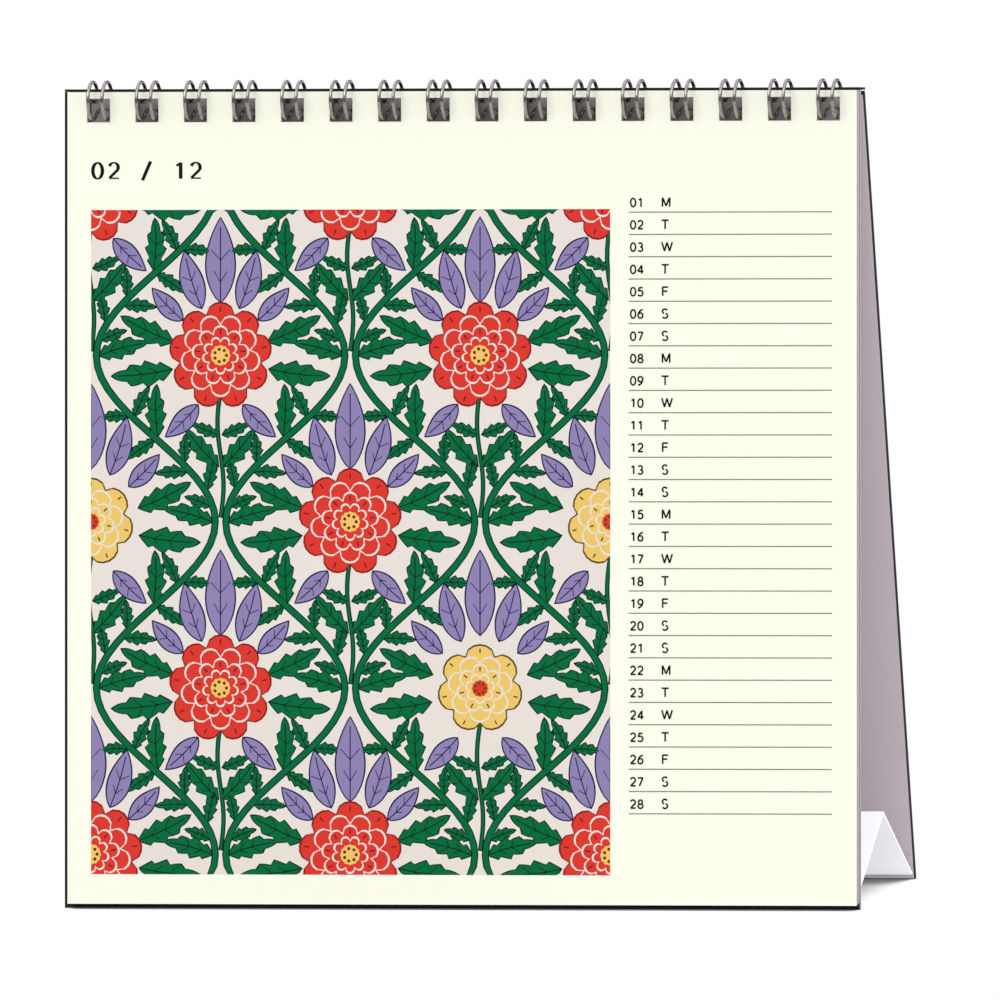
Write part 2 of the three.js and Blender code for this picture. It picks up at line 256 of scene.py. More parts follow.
# pewter-coated wire: metal whose tone and roughness vary a little in patches
def makeWireMaterial(finish):
    material, tree, shader = newMaterial("pewterWire")
    place = tree.nodes.new("ShaderNodeTexCoord").outputs["Object"]
    patches = noiseNode(tree, place, finish["streaks"], 2)
    ramp = tree.nodes.new("ShaderNodeMix")
    ramp.data_type = "RGBA"
    ramp.inputs["A"].default_value = (*toLinear(*finish["dull"]), 1)
    ramp.inputs["B"].default_value = (*toLinear(*finish["bright"]), 1)
    tree.links.new(patches, ramp.inputs["Factor"])
    tree.links.new(ramp.outputs["Result"], shader.inputs["Base Color"])
    rough = mathNode(tree, "ADD", mathNode(tree, "MULTIPLY", patches, 0.12), finish["roughness"] - 0.06)
    tree.links.new(rough, shader.inputs["Roughness"])
    shader.inputs["Metallic"].default_value = 1.0
    bump = tree.nodes.new("ShaderNodeBump")
    bump.inputs["Strength"].default_value = 0.15
    bump.inputs["Distance"].default_value = 0.02 * mm
    tree.links.new(patches, bump.inputs["Height"])
    tree.links.new(bump.outputs["Normal"], shader.inputs["Normal"])
    return material


wireMaterial = makeWireMaterial(wireFinish)


def dress(node, material):
    data = frame["nodes"][node].data
    data.materials.clear()
    data.materials.append(material)


for node in leafBodies:
    dress(node, leafMaterial)
for node in ("front_cover", "back_cover", "ridge_strip"):
    dress(node, coverMaterial)
dress("front_liner", shadedLinerMaterial)
dress("back_liner", litLinerMaterial)
for node in ("front_board", "back_board"):
    dress(node, boardMaterial)
dress("gusset_front_tab", cardMaterial)
dress("gusset_rear_tab", litLinerMaterial)
print("stage: materials made")


def newPiece(name, points, faces, material, smooth=True):
    data = bpy.data.meshes.new(name)
    data.from_pydata(points.tolist(), [], faces.tolist())
    data.materials.append(material)
    if smooth:
        data.shade_smooth()
    data.update()
    piece = bpy.data.objects.new(name, data)
    bpy.context.scene.collection.objects.link(piece)
    return piece


# binding wire
wireLook = {
    "loops": 16,
    "pitch": 12.7 * mm,
    "offset": 0.4 * mm,
    "radius": 0.45 * mm,
    "spread": 3.7 * mm,
    "ringRadius": 4.75 * mm,
    "ringDepth": 1.35 * mm,
    "belowLeafTop": 2.2 * mm,
    "baseAngle": math.radians(-4),
    "tipAngle": math.radians(336),
    "cornerRadius": 0.8 * mm,
    "tail": 2 * mm,
    "sides": 14,
    "riserSteps": 30,
    "capSteps": 14,
    "cornerSteps": 5,
}


# one loop's flat route as (x, distance round the ring): corner, riser, round cap, riser, corner
def wireRoute(look):
    half, corner = look["spread"] / 2, look["cornerRadius"]
    base = look["ringRadius"] * look["baseAngle"]
    capMiddle = look["ringRadius"] * look["tipAngle"] - half
    bend = np.linspace(0, math.pi / 2, look["cornerSteps"])
    rise = np.linspace(base + corner, capMiddle, look["riserSteps"])[1:-1]
    cap = np.linspace(math.pi, 0, look["capSteps"])
    x = np.concatenate([
        -half - corner + corner * np.sin(bend), np.full(rise.size, -half), half * np.cos(cap),
        np.full(rise.size, half), half + corner - corner * np.sin(bend[::-1])])
    s = np.concatenate([
        base + corner - corner * np.cos(bend), rise, capMiddle + half * np.sin(cap),
        rise[::-1], base + corner - corner * np.cos(bend[::-1])])
    return np.stack([x, s], axis=1)


# a round section carried along the comb's route, which is wrapped on the ring's cylinder
def makeWire(look):
    loop = wireRoute(look)
    places = np.arange(look["loops"]) - (look["loops"] - 1) / 2
    middles = pageWidth / 2 + look["offset"] + places * look["pitch"]
    flat = (loop[None] + np.stack([middles, np.zeros_like(middles)], axis=1)[:, None]).reshape(-1, 2)
    ends = [flat[:1] - [look["tail"], 0], flat[-1:] + [look["tail"], 0]]
    flat = np.concatenate([ends[0], flat, ends[1]])
    angle = flat[:, 1] / look["ringRadius"]
    radial = np.cos(angle)[:, None] * intoPanel + np.sin(angle)[:, None] * upPanel
    axis = onPanel(flat[:, 0], pageHeight - look["belowLeafTop"], look["ringDepth"])
    centre = axis + look["ringRadius"] * radial
    tangent = np.gradient(centre, axis=0)
    tangent /= np.linalg.norm(tangent, axis=1)[:, None]
    side = np.cross(tangent, radial)
    side /= np.linalg.norm(side, axis=1)[:, None]
    lift = np.cross(side, tangent)
    turn = np.linspace(0, 2 * math.pi, look["sides"], endpoint=False)
    c, s = np.cos(turn)[None, :, None], np.sin(turn)[None, :, None]
    rim = look["radius"] * (c * side[:, None] + s * lift[:, None])
    points = (centre[:, None] + rim).reshape(-1, 3)
    station = np.arange(len(centre) - 1)[:, None] * look["sides"]
    k = np.arange(look["sides"])[None]
    after = (k + 1) % look["sides"]
    beyond = station + look["sides"]
    quads = np.stack([station + k, beyond + k, beyond + after, station + after], axis=-1)
    faces = quads.reshape(-1, 4).tolist()
    faces.append(list(range(look["sides"])))
    last = (len(centre) - 1) * look["sides"]
    faces.append([last + i for i in reversed(range(look["sides"]))])
    data = bpy.data.meshes.new("twinLoopWire")
    data.from_pydata(points.tolist(), [], faces)
    data.materials.append(wireMaterial)
    data.shade_smooth()
    piece = bpy.data.objects.new("twinLoopWire", data)
    bpy.context.scene.collection.objects.link(piece)
    return piece


wire = makeWire(wireLook)
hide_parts("binding_wire")
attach(wire, "front_panel")
print("stage: binding wire made")


# the folded card: each slope runs from its hinge to the shared crease, mitred there
cardLook = {"thickness": 0.4 * mm, "creaseGap": 0.01 * mm, "hingeOverlap": 0.12 * mm}


def hingeOf(joint):
    return np.array(jointOf[joint]["pos_m"])[1:], lean + math.radians(jointOf[joint]["range_deg"][1])


def makeCard(look):
    front, frontSlant = hingeOf("front_slope_fold")
    rear, rearSlant = hingeOf("rear_slope_fold")
    frontWay = np.array([math.sin(frontSlant), math.cos(frontSlant)])
    rearWay = np.array([-math.sin(rearSlant), math.cos(rearSlant)])
    frontSide = np.array([-frontWay[1], frontWay[0]])
    rearSide = np.array([rearWay[1], -rearWay[0]])
    low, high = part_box("gusset_front_slope")

    # where the two faces offset by shift meet: front + shift + a way = rear + shift + b way
    def meeting(shift):
        a, b = front + shift * frontSide, rear + shift * rearSide
        reach = np.linalg.solve(np.stack([frontWay, -rearWay], axis=1), b - a)
        return a + reach[0] * frontWay

    half = look["thickness"] / 2
    upper, under = meeting(half), meeting(-half)
    parts = (("frontCardSlope", "gusset_front_slope", "front_slope", front, frontWay, frontSide, -1),
             ("rearCardSlope", "gusset_rear_slope", "rear_slope", rear, rearWay, rearSide, 1))
    made = []
    for name, node, body, hinge, way, side, gapWay in parts:
        gap = np.array([gapWay * look["creaseGap"], 0])
        foot = hinge - look["hingeOverlap"] * way
        outline = np.array([foot + half * side, foot - half * side, under + gap, upper + gap])
        points = np.concatenate([np.insert(outline, 0, x, axis=1) for x in (low[0], high[0])])
        faces = [[0, 1, 2, 3], [7, 6, 5, 4]] + [[i, i + 4, (i + 1) % 4 + 4, (i + 1) % 4] for i in range(4)]
        piece = newPiece(name, points, np.array(faces), cardMaterial, smooth=False)
        work = bmesh.new()
        work.from_mesh(piece.data)
        bmesh.ops.recalc_face_normals(work, faces=work.faces)
        work.to_mesh(piece.data)
        work.free()
        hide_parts(node)
        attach(piece, body)
        made.append(piece)
    return made


cardPieces = makeCard(cardLook) + [frame["nodes"]["gusset_front_tab"]]
print("stage: card base made")


# printed ink: every shape is a flat strip, an array of rows of two points, on a page of its own
inks = {
    "black": toLinear(22, 20, 22),
    "rule": toLinear(120, 120, 108),
    "ground": toLinear(233, 225, 217),
    "outline": toLinear(10, 34, 22),
    "green": toLinear(2, 108, 62),
    "red": toLinear(219, 58, 48),
    "deepRed": toLinear(140, 22, 26),
    "lilac": toLinear(143, 131, 178),
    "navy": toLinear(30, 30, 84),
    "yellow": toLinear(238, 200, 108),
    "brown": toLinear(96, 62, 24),
}
inkLayer = 0.0105 * mm
inkStep = 0.00003 * mm  # strips of one layer lie this much apart, in inkSteps places
inkSteps = 60
filmShare = 0.6  # of a layer, so that films never touch
finestTip = 0.02 * mm
inkLayers = {"ground": 0, "stem": 1, "leaf": 1, "figure": 4, "rosette": 4}


# the half width of a blade along it, as a share: widest before the middle, pointed at both ends
def bladeShape(t):
    return np.clip(np.sin(math.pi * t ** 0.85), 0, 1) ** 0.85


# a blade along +y, toothed by its lobes, on a bent spine
def bladeStrip(length, width, lobes, lobeDepth, bend, rows):
    t = np.linspace(0, 1, rows)
    half = width / 2 * bladeShape(t)
    half = np.maximum(half * (1 - lobeDepth + lobeDepth * (lobes * t % 1)), finestTip)
    spine = np.stack([bend * length * t ** 2, length * t], axis=1)
    slope = np.gradient(spine, axis=0)
    slope /= np.linalg.norm(slope, axis=1)[:, None]
    normal = np.stack([-slope[:, 1], slope[:, 0]], axis=1)
    return np.stack([spine + half[:, None] * normal, spine - half[:, None] * normal], axis=1)


# a pen line along points: its width goes from thin on level strokes to thick on upright ones
def penStrip(points, thick, thin=None):
    points = np.asarray(points, float)
    slope = np.gradient(points, axis=0)
    slope /= np.linalg.norm(slope, axis=1)[:, None]
    normal = np.stack([-slope[:, 1], slope[:, 0]], axis=1)
    thin = thick if thin is None else thin
    half = (thin + (thick - thin) * np.abs(slope[:, 1]) ** 1.5)[:, None] / 2
    return np.stack([points + half * normal, points - half * normal], axis=1)


# a scalloped disc or ring about the origin: its outer radius is an even wave of the angle from +y
def rosetteStrip(radius, petals, depth, width=None, phase=0.0, steps=6):
    angle = np.linspace(0, 2 * math.pi, steps * petals + 1)
    wave = np.abs(np.cos((angle - phase) * petals / 2)) ** 0.6
    outer = radius * (1 - depth + depth * wave)
    inner = np.full_like(outer, finestTip) if width is None else outer - width
    turn = np.stack([-np.sin(angle), np.cos(angle)], axis=1)
    return np.stack([turn * outer[:, None], turn * inner[:, None]], axis=1)


def arcLine(cx, cy, rx, ry, start, stop, count=11):
    angle = np.radians(np.linspace(start, stop, count))
    return np.stack([cx + rx * np.cos(angle), cy + ry * np.sin(angle)], axis=1)


def straightLine(start, stop):
    return np.array([start, stop], float)


# figures and weekday initials as pen lines on a body one unit high
penFigures = {
    "0": [arcLine(0.3, 0.5, 0.25, 0.5, 90, 450, 17)],
    "1": [straightLine((0.36, 0), (0.36, 1)), straightLine((0.37, 0.98), (0.14, 0.8))],
    "2": [np.concatenate([arcLine(0.29, 0.71, 0.23, 0.29, 165, -38, 11), [[0.06, 0.04]]]),
          straightLine((0.05, 0.03), (0.55, 0.03))],
    "3": [arcLine(0.28, 0.75, 0.2, 0.25, 150, -90), arcLine(0.28, 0.26, 0.24, 0.26, 90, -150)],
    "4": [straightLine((0.43, 0), (0.43, 1)), straightLine((0.43, 0.98), (0.04, 0.28)),
          straightLine((0.03, 0.27), (0.6, 0.27))],
    "5": [straightLine((0.52, 0.97), (0.15, 0.97)), straightLine((0.16, 0.98), (0.11, 0.53)),
          arcLine(0.28, 0.32, 0.26, 0.32, 128, -150, 13)],
    "6": [arcLine(0.3, 0.31, 0.24, 0.31, 90, 450, 17), arcLine(0.62, 0.32, 0.55, 0.7, 98, 172, 7)],
    "7": [straightLine((0.05, 0.97), (0.56, 0.97)), straightLine((0.54, 0.98), (0.2, 0))],
    "8": [arcLine(0.3, 0.75, 0.19, 0.25, 90, 450, 17), arcLine(0.3, 0.26, 0.24, 0.26, 90, 450, 17)],
    "9": [arcLine(0.3, 0.69, 0.24, 0.31, 90, 450, 17), arcLine(-0.02, 0.68, 0.55, 0.7, -82, -8, 7)],
    "/": [straightLine((0.08, -0.1), (0.5, 1.08))],
    "M": [straightLine((0.08, 0), (0.08, 1)), straightLine((0.1, 0.98), (0.42, 0.1)),
          straightLine((0.42, 0.1), (0.74, 0.98)), straightLine((0.76, 0), (0.76, 1))],
    "T": [straightLine((0.33, 0), (0.33, 1)), straightLine((0, 0.96), (0.66, 0.96))],
    "W": [straightLine((0.02, 1), (0.27, 0.03)), straightLine((0.27, 0.03), (0.51, 0.97)),
          straightLine((0.51, 0.97), (0.75, 0.03)), straightLine((0.75, 0.03), (1.0, 1))],
    "F": [straightLine((0.1, 0), (0.1, 1)), straightLine((0.1, 0.96), (0.6, 0.96)),
          straightLine((0.1, 0.52), (0.54, 0.52))],
    "S": [arcLine(0.31, 0.75, 0.23, 0.25, 25, 250, 13), arcLine(0.31, 0.26, 0.25, 0.26, 75, -150, 13)],
}


# the strips printed on one leaf, with their colours and layers
class Print:

    def __init__(self, clip=None):
        self.strips = []
        self.clip = clip

    def add(self, strip, ink, layer, at=(0, 0), turn=0.0, size=1.0):
        c, s = math.cos(turn), math.sin(turn)
        rows = strip * size @ np.array([[c, s], [-s, c]]) + np.array(at)
        keep = np.ones(len(rows) - 1, bool)
        if self.clip is not None:
            low, high = self.clip
            pairs = np.concatenate([rows[:-1], rows[1:]], axis=1)
            keep = ~((pairs < low).all(axis=1) | (pairs > high).all(axis=1)).any(axis=1)
            rows = np.clip(rows, low, high)
        if keep.any():
            self.strips.append((rows, keep, inks[ink], layer))

    # all strips as one sheet mesh: each row pair is a quad, turned to face the reader
    def toMesh(self, name, corner):
        points, faces, colours = [], [], []
        count = 0
        for index, (rows, keep, colour, layer) in enumerate(self.strips):
            flat = rows.reshape(-1, 2)
            lift = (layer + 1) * inkLayer + index % inkSteps * inkStep
            first = 2 * np.nonzero(keep)[0][:, None] + count
            quads = first + np.array([0, 1, 3, 2])
            a, b, c = rows[:-1, 0], rows[:-1, 1], rows[1:, 1]
            area = np.sum((b - a)[:, 0] * (c - a)[:, 1] - (b - a)[:, 1] * (c - a)[:, 0])
            if area < 0:
                quads = quads[:, ::-1]
            place = (corner + flat[:, :1] * across + flat[:, 1:] * upPanel
                     - lift * intoPanel)
            points.append(place)
            faces.append(quads)
            colours.append(np.tile([*colour, 1.0], (4 * len(quads), 1)))
            count += len(flat)
        data = bpy.data.meshes.new(name)
        data.from_pydata(np.concatenate(points).tolist(), [], np.concatenate(faces).tolist())
        shades = data.attributes.new("inkColour", "FLOAT_COLOR", "CORNER")
        shades.data.foreach_set("color", np.concatenate(colours).astype(np.float32).ravel())
        work = bmesh.new()
        work.from_mesh(data)
        bmesh.ops.remove_doubles(work, verts=work.verts, dist=0.3 * inkStep)
        bmesh.ops.dissolve_degenerate(work, dist=inkStep, edges=work.edges)
        loose = [vert for vert in work.verts if not vert.link_faces]
        bmesh.ops.delete(work, geom=loose, context="VERTS")
        work.to_mesh(data)
        work.free()
        data.materials.append(inkMaterial)
        piece = bpy.data.objects.new(name, data)
        bpy.context.scene.collection.objects.link(piece)
        film = piece.modifiers.new("film", "SOLIDIFY")
        film.thickness = filmShare * inkLayer
        film.offset = -1
        return piece


# sets figures or initials side by side from a left edge and a base line
def writeFigures(sheet, text, at, height, thick, thin, spacing, wide=1.0):
    x, y = at
    for mark in text:
        for line in penFigures.get(mark, []):
            sheet.add(penStrip(line * height * [wide, 1], thick, thin), "black", inkLayers["figure"], at=(x, y))
        x += spacing * height


leafPrint = {
    "titleAt": (6.4 * mm, 183.2 * mm),
    "titleHeight": 4.05 * mm,
    "titleThick": 0.92 * mm,
    "titleThin": 0.36 * mm,
    "titleSpacing": 1.06,
    "titleWide": 1.25,
    "figureHeight": 2.12 * mm,
    "figureThick": 0.42 * mm,
    "figureSpacing": 0.9,
    "figureWide": 1.22,
    "initialHeight": 2.3 * mm,
    "initialWide": 1.2,
    "figuresAt": 147.1 * mm,
    "initialsAt": 155.3 * mm,
    "ruleLeft": 146.7 * mm,
    "ruleRight": 199.6 * mm,
    "firstRule": 174.5 * mm,
    "rulePitch": 5.61 * mm,
    "ruleWidth": 0.24 * mm,
    "figureLift": 1.36 * mm,
    "artLow": (6.2 * mm, 7.5 * mm),
    "artHigh": (141.9 * mm, 175.3 * mm),
}
daysIn = [28, 31, 30, 31, 30, 31, 31, 30, 31, 30, 31]
monthNumber = {
    "leaf_february": 2, "leaf_march": 3, "leaf_april": 4, "leaf_may": 5, "leaf_june": 6, "leaf_july": 7,
    "leaf_august": 8, "leaf_september": 9, "leaf_october": 10, "leaf_november": 11, "leaf_december": 12,
}


def printDays(sheet, look, days, firstDay):
    initials = "MTWTFSS"
    pitch = look["rulePitch"] * 28 / max(days, 28)
    for day in range(days):
        y = look["firstRule"] - day * pitch
        rule = np.array([[look["ruleLeft"], y], [look["ruleRight"], y]])
        sheet.add(penStrip(rule, look["ruleWidth"]), "rule", inkLayers["figure"])
        base = y + look["figureLift"] * pitch / look["rulePitch"]
        writeFigures(sheet, f"{day + 1:02d}", (look["figuresAt"], base), look["figureHeight"],
                     look["figureThick"], look["figureThick"], look["figureSpacing"], look["figureWide"])
        writeFigures(sheet, initials[(firstDay + day) % 7], (look["initialsAt"], base), look["initialHeight"],
                     look["figureThick"], look["figureThick"], look["figureSpacing"], look["initialWide"])


# the picture panel: vines that swing to and fro and frame ogee cells, each with its own flower.
# Lengths here are in millimetres of a cell as wide as designWidth
ogeeLook = {
    "cellsAcross": 2,
    "cellHeight": 84,
    "designWidth": 67.85,
    "swing": 15.6,
    "start": 0.3,
    "monthShift": 0.13,
    "vine": 1.9,
    "twig": 1.2,
    "outline": 0.4 * mm,
    "leafRows": 17,
    "leafTeeth": 4,
    "toothDepth": 0.42,
    "vineSteps": 150,
    "reach": 32,  # no shape goes farther than this from its place
    "redRadius": 13.2,
    "yellowRadius": 10.8,
    "clearance": 0.15,
    "shrink": (1.0, 0.86, 0.72, 0.6),
}
# in each cell, measured from the flower's middle: place, lean from upright, length, width
lilacLeaves = (
    ((0.0, 13.5), 0.0, 21.0, 7.4), ((5.0, 12.0), 0.42, 17.0, 6.6), ((10.0, 9.0), 0.9, 15.0, 6.2),
    ((6.0, -12.6), 2.45, 13.0, 5.4),
)
greenLeaves = (
    ((12.5, 3.5), 1.25, 17.0, 7.6), ((12.8, -3.5), 1.8, 18.0, 8.2), ((0.6, -37.0), 0.5, 17.0, 7.0),
    ((0.6, -28.0), 0.85, 17.0, 7.6), ((0.6, -20.0), 1.3, 12.0, 5.6),
)
# along the vines, tried in this order at even steps: length, width, step as a share of the repeat
vineLeaves = ((21.0, 9.6, 0.125), (17.0, 8.0, 0.0625), (13.0, 6.2, 0.03125), (9.0, 4.6, 0.025))


# the rooms already taken in one repeat of the pattern, as circles. Distances wrap round its edges
class Ground:
    def __init__(self, width, height):
        self.repeat = np.array([width, height])
        self.middles = np.empty((0, 2))
        self.radii = np.empty(0)

    def take(self, middles, radii):
        self.middles = np.concatenate([self.middles, middles])
        self.radii = np.concatenate([self.radii, np.broadcast_to(radii, len(middles))])

    def isFree(self, middles, radii, clearance):
        step = middles[:, None] - self.middles[None] + self.repeat / 2
        apart = np.linalg.norm(step % self.repeat - self.repeat / 2, axis=2)
        return bool((apart > np.asarray(radii)[:, None] + self.radii[None] + clearance).all())


# circles along a bent leaf, over the outer two thirds: its root may lie on a stem
def leafRooms(at, turn, length, width, bend):
    t = np.linspace(0.36, 0.97, 6)
    spine = np.stack([bend * length * t ** 2, length * t], axis=1)
    c, s = math.cos(turn), math.sin(turn)
    return spine @ np.array([[c, s], [-s, c]]) + np.array(at), 0.38 * width * bladeShape(t)


def planLeaf(plan, ground, at, turn, length, width, kind, bend):
    for share in ogeeLook["shrink"]:
        middles, radii = leafRooms(at, turn, share * length, share * width, bend)
        if ground.isFree(middles, radii, ogeeLook["clearance"]):
            ground.take(middles, radii)
            plan.append((kind, at, turn, share * length, share * width, bend))
            return


# x = middle + swing cos(turn), where one turn is a cell's height
def vinePoint(vine, turn):
    middle = (vine + 0.5) * ogeeLook["designWidth"] / 2
    way = 1 if vine % 2 else -1
    return np.stack([middle + way * ogeeLook["swing"] * np.cos(turn),
                     turn / (2 * math.pi) * ogeeLook["cellHeight"]], axis=-1)


def vineHeading(vine, turn):
    step = vinePoint(vine, turn + 0.05) - vinePoint(vine, turn)
    return math.atan2(-step[0], step[1])


# one repeat of the pattern, two cells: flowers and stems first, then the leaves that fit between them
def planPicture():
    look = ogeeLook
    plan, ground = [], Ground(look["designWidth"], look["cellHeight"])
    cells = [(look["designWidth"] / 2, 0.0), (0.0, look["cellHeight"] / 2)]
    for x, y in cells:
        ground.take(np.array([[x, y]]), look["redRadius"])
        plan.append(("flower", (x, y), 0, 0, 0, 0))
        sway = 0.8 * np.sin(np.linspace(0, 2 * math.pi, 15))
        stem = np.stack([x + sway, y + np.linspace(-41, -9, 15)], axis=1)
        ground.take(stem, look["twig"] / 2)
        plan.append(("twig", stem, 0, 0, 0, 0))
    for vine in (0, 1):
        ground.take(vinePoint(vine, np.linspace(0, 2 * math.pi, 90)), look["vine"] / 2)
    for leaves, kind in ((lilacLeaves, "lilac"), (greenLeaves, "green")):
        for x, y in cells:
            for (dx, dy), swing, length, width in leaves:
                for side in ((-1, 1) if dx else (1,)):
                    planLeaf(plan, ground, (x + side * dx, y + dy), -side * swing, length, width, kind,
                             -0.12 * side if dx else 0.0)
    for length, width, step in vineLeaves:
        for turn in 2 * math.pi * np.arange(0, 1, step):
            for vine in (0, 1):
                heading = vineHeading(vine, turn)
                for side in (-1, 1):
                    base = vinePoint(vine, turn) + 0.8 * side * np.array([math.cos(heading), math.sin(heading)])
                    for swing in (0.7, 1.15):
                        planLeaf(plan, ground, base, heading - side * swing, length, width, "green", 0.14 * side)
    print(f"pattern repeat: {len(plan)} shapes")
    return plan


def printLeaf(sheet, at, turn, length, width, fill, edge, bend, toothDepth):
    rim, layer = ogeeLook["outline"], inkLayers["leaf"]
    form = (ogeeLook["leafTeeth"], toothDepth, bend, ogeeLook["leafRows"])
    back = np.array(at) - rim * np.array([-math.sin(turn), math.cos(turn)])
    sheet.add(bladeStrip(length + 2.4 * rim, width + 2 * rim, *form), edge, layer, back, turn)
    sheet.add(bladeStrip(length, width, *form), fill, layer + 1, at, turn)
    t = np.linspace(0, 0.9, 4)
    spine = np.stack([bend * length * t ** 2, length * t], axis=1)
    sheet.add(penStrip(spine, 0.7 * rim), edge, layer + 2, at, turn)
    for side in (-1, 1):
        for t0 in (0.24, 0.5):
            root = np.array([bend * length * t0 ** 2, length * t0])
            tip = root + np.array([side * width * 0.34 * math.sin(math.pi * t0), length * 0.13])
            sheet.add(penStrip([root, tip], 0.5 * rim), edge, layer + 2, at, turn)


def printStem(sheet, points, width):
    sheet.add(penStrip(points, width), "outline", inkLayers["stem"])
    sheet.add(penStrip(points, width - 1.5 * ogeeLook["outline"]), "green", inkLayers["stem"] + 1)


# a flower: a scalloped disc with pale rings, each turned half a petal, a heart and seeds
def printRosette(sheet, at, radius, fill):
    petals, edge, heart = (9, "deepRed", "yellow") if fill == "red" else (7, "brown", "red")
    rim, layer = ogeeLook["outline"], inkLayers["rosette"]
    half = math.pi / petals
    sheet.add(rosetteStrip(radius, petals, 0.2), fill, layer, at)
    sheet.add(rosetteStrip(radius + rim, petals, 0.2, 1.1 * rim), edge, layer + 1, at)
    for ring, share in enumerate((0.8, 0.58, 0.37)):
        phase = half * (1 - ring % 2)
        sheet.add(rosetteStrip(share * radius, petals, 0.24, 1.3 * rim, phase), "ground", layer + 1, at)
    for turn in 2 * half * np.arange(petals):
        for first, last in ((0.83, 0.93), (0.4, 0.5)):
            line = radius * np.array([[0, first], [0, last]])
            sheet.add(penStrip(line, 0.9 * rim), edge, layer + 1, at, turn)
    sheet.add(rosetteStrip(0.2 * radius, 12, 0.08, steps=2), heart, layer + 1, at)
    for turn in 2 * math.pi * np.arange(7) / 7:
        spot = (at[0] + 0.12 * radius * math.cos(turn), at[1] + 0.12 * radius * math.sin(turn))
        sheet.add(rosetteStrip(0.035 * radius, 6, 0.0, steps=1), edge, layer + 2, spot)


def printPicture(sheet, look, month, plan):
    low, high = np.array(look["artLow"]), np.array(look["artHigh"])
    art = Print(clip=(low, high))
    middle = (low[1] + high[1]) / 2
    band = np.array([[low[0], middle], [high[0], middle]])
    art.add(penStrip(band, high[1] - low[1]), "ground", inkLayers["ground"])
    unit = (high[0] - low[0]) / ogeeLook["cellsAcross"] / ogeeLook["designWidth"]
    start = (ogeeLook["start"] + ogeeLook["monthShift"] * month) % 1 - 1
    origin = low + np.array([0, start * ogeeLook["cellHeight"] * unit])
    repeat = np.array([ogeeLook["designWidth"], ogeeLook["cellHeight"]]) * unit
    reach = ogeeLook["reach"] * unit
    laps = math.pi * np.linspace(-2, 8, ogeeLook["vineSteps"] + 1)
    for vine in range(-1, 2 * ogeeLook["cellsAcross"] + 1):
        printStem(art, vinePoint(vine, laps) * unit + origin, ogeeLook["vine"] * unit)
    for column, lap in np.ndindex(ogeeLook["cellsAcross"] + 2, 5):
        shift = origin + repeat * [column - 1, lap - 1]
        for index, (kind, at, turn, length, width, bend) in enumerate(plan):
            at = np.array(at) * unit + shift
            if ((at.min(axis=0) if at.ndim == 2 else at) > high + reach).any():
                continue
            if ((at.max(axis=0) if at.ndim == 2 else at) < low - reach).any():
                continue
            if kind == "green":
                printLeaf(art, at, turn, length * unit, width * unit, "green", "outline", bend,
                          ogeeLook["toothDepth"])
            elif kind == "lilac":
                printLeaf(art, at, turn, length * unit, width * unit, "lilac", "navy", bend, 0.0)
            elif kind == "twig":
                printStem(art, at, ogeeLook["twig"] * unit)
            else:
                fill = "yellow" if (2 * column + lap + index + month) % 4 == 0 else "red"
                printRosette(art, at, ogeeLook[fill + "Radius"] * unit, fill)
    sheet.strips += art.strips


def printPage(node, body, month, plan):
    sheet = Print()
    look = leafPrint
    printPicture(sheet, look, month, plan)
    writeFigures(sheet, f"{month:02d} / 12", look["titleAt"], look["titleHeight"], look["titleThick"],
                 look["titleThin"], look["titleSpacing"], look["titleWide"])
    printDays(sheet, look, daysIn[month - 2], sum(daysIn[:month - 2]) % 7)
    ink = sheet.toMesh("ink" + body.capitalize(), leafCorner(node))
    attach(ink, body)
    return ink


picturePlan = planPicture()
for node, month in monthNumber.items():
    printPage(node, node.removeprefix("leaf_"), month, picturePlan)
print("stage: leaves printed")


# stage: pale floor with a painted contact shadow, white surroundings, soft light
stageLook = {
    "floorSize": 6.0,
    "floorDrop": 0.05 * mm,
    "floorColour": (250, 250, 250),
    "floorRoughness": 0.9,
    # the contact values shape the floor's painted shadow, taken from ambient occlusion
    "contactReach": 26 * mm,
    "contactOpen": 0.5,  # nearness below which the floor darkens, and where it is darkest
    "contactShut": 0.18,
    "contactShade": 0.85,
    "worldLight": 0.78,
    "glossyLow": 0.12,
    "glossyHigh": 1.3,
    "ceilingEdge": (0.1, 0.6),  # where the bright ceiling begins and is full, as the height of a ray
    "sunStrength": 0.8,
    "sunAngle": math.radians(28),
    "sunTurn": (math.radians(48), 0.0, math.radians(-32)),
    "cardFill": 4.2,
    "cardFillTurn": (math.radians(84), 0.0, math.radians(45)),
}


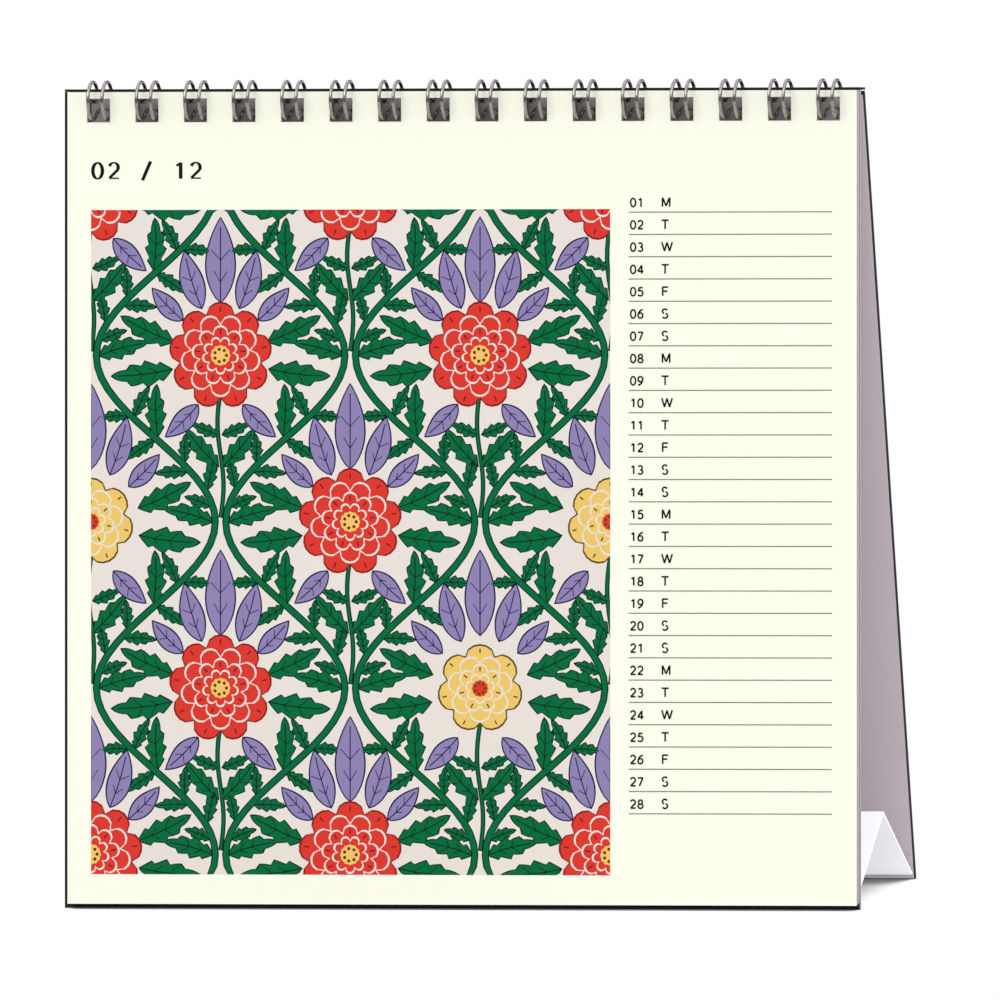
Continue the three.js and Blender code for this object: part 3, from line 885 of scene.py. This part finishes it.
def makeFloor(look):
    half = look["floorSize"] / 2
    corners = np.array([[-half, -half, 0], [half, -half, 0], [half, half, 0], [-half, half, 0]])
    corners[:, 2] = -look["floorDrop"]
    material, tree, shader = newMaterial("paleFloor")
    shader.inputs["Base Color"].default_value = (*toLinear(*look["floorColour"]), 1)
    shader.inputs["Roughness"].default_value = look["floorRoughness"]
    # camera and glossy rays see the floor as a white glow that ambient occlusion dims near the calendar: a
    # painted contact shadow
    light = tree.nodes.new("ShaderNodeEmission")
    near = tree.nodes.new("ShaderNodeAmbientOcclusion")
    near.inputs["Distance"].default_value = look["contactReach"]
    paintedShadow = tree.nodes.new("ShaderNodeMapRange")
    paintedShadow.inputs["From Min"].default_value = look["contactShut"]
    paintedShadow.inputs["From Max"].default_value = look["contactOpen"]
    paintedShadow.inputs["To Min"].default_value = 1 - look["contactShade"]
    tree.links.new(near.outputs["AO"], paintedShadow.inputs["Value"])
    tree.links.new(paintedShadow.outputs["Result"], light.inputs["Strength"])
    path = tree.nodes.new("ShaderNodeLightPath")
    seen = mathNode(tree, "MAXIMUM", path.outputs["Is Camera Ray"], path.outputs["Is Glossy Ray"])
    mix = tree.nodes.new("ShaderNodeMixShader")
    tree.links.new(seen, mix.inputs[0])
    tree.links.new(shader.outputs[0], mix.inputs[1])
    tree.links.new(light.outputs[0], mix.inputs[2])
    tree.links.new(mix.outputs[0], tree.nodes["Material Output"].inputs["Surface"])
    floor = newPiece("floor", corners, np.array([[0, 1, 2, 3]]), material, smooth=False)


def makeLight(look):
    world = bpy.data.worlds.new("whiteRoom")
    bpy.context.scene.world = world
    world.use_nodes = True
    tree = world.node_tree
    background = tree.nodes["Background"]
    path = tree.nodes.new("ShaderNodeLightPath")
    camera = mathNode(tree, "MULTIPLY", path.outputs["Is Camera Ray"], 1 - look["worldLight"])
    # a glossy ray sees a bright ceiling over dim walls
    aim = tree.nodes.new("ShaderNodeSeparateXYZ")
    tree.links.new(tree.nodes.new("ShaderNodeTexCoord").outputs["Generated"], aim.inputs[0])
    ceiling = tree.nodes.new("ShaderNodeMapRange")
    ceiling.interpolation_type = "SMOOTHSTEP"
    tree.links.new(aim.outputs["Z"], ceiling.inputs["Value"])
    ceiling.inputs["From Min"].default_value, ceiling.inputs["From Max"].default_value = look["ceilingEdge"]
    ceiling.inputs["To Min"].default_value = look["glossyLow"] - look["worldLight"]
    ceiling.inputs["To Max"].default_value = look["glossyHigh"] - look["worldLight"]
    glossy = mathNode(tree, "MULTIPLY", path.outputs["Is Glossy Ray"], ceiling.outputs["Result"])
    strength = mathNode(tree, "ADD", mathNode(tree, "ADD", camera, glossy), look["worldLight"])
    tree.links.new(strength, background.inputs["Strength"])
    background.inputs["Color"].default_value = (1, 1, 1, 1)
    addSun("softSun", look["sunStrength"], look["sunAngle"], look["sunTurn"])
    fill = addSun("cardFill", look["cardFill"], look["sunAngle"], look["cardFillTurn"])
    lit = bpy.data.collections.new("cardPieces")
    for piece in cardPieces:
        lit.objects.link(piece)
    fill.light_linking.receiver_collection = lit


def addSun(name, strength, angle, turn):
    data = bpy.data.lights.new(name, "SUN")
    data.energy = strength
    data.angle = angle
    sun = bpy.data.objects.new(name, data)
    sun.rotation_euler = turn
    bpy.context.scene.collection.objects.link(sun)
    return sun


makeFloor(stageLook)
makeLight(stageLook)
bpy.context.scene.view_settings.view_transform = "Standard"
print("stage: floor and light made")
